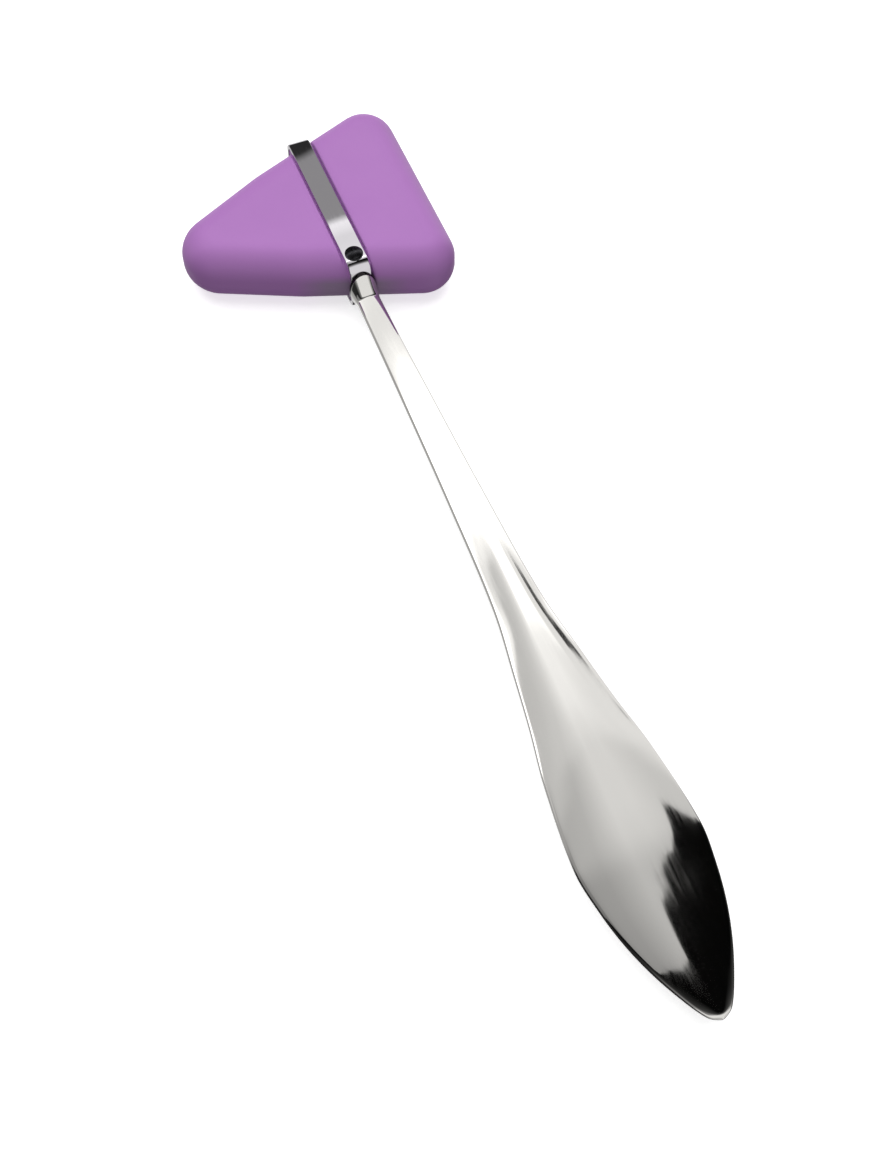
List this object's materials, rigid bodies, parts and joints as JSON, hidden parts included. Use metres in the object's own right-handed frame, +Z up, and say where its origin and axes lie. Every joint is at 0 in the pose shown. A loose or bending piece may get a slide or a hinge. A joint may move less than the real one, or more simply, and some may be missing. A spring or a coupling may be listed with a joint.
{
  "type": "reflex hammer",
  "caption": "Neurological reflex hammer: triangular purple rubber head held in a chromed strap on a flat chromed handle that widens to a pointed leaf.",
  "frame": {"origin": "centre of the hammer's footprint, on the surface that the back face of the head rests on", "axes": "+Y along the handle from the leaf's tip to the head, +X towards the head's broad side, +Z up, out of the head's front face"},
  "size_m": [0.0518, 0.2, 0.0134],
  "materials": {
    "handle_chrome": "chromium plate over polished forged steel",
    "head_rubber": "satin moulded thermoplastic rubber, purple",
    "strap_chrome": "chromium plate over bent steel strip, fine draw lines",
    "rivet_steel": "blackened, polished domed steel rivet"
  },
  "bodies": {
    "root": {"handle": "handle_chrome", "rubber_head": "head_rubber", "strap": "strap_chrome", "rivet": "rivet_steel"}
  },
  "joints": []
}
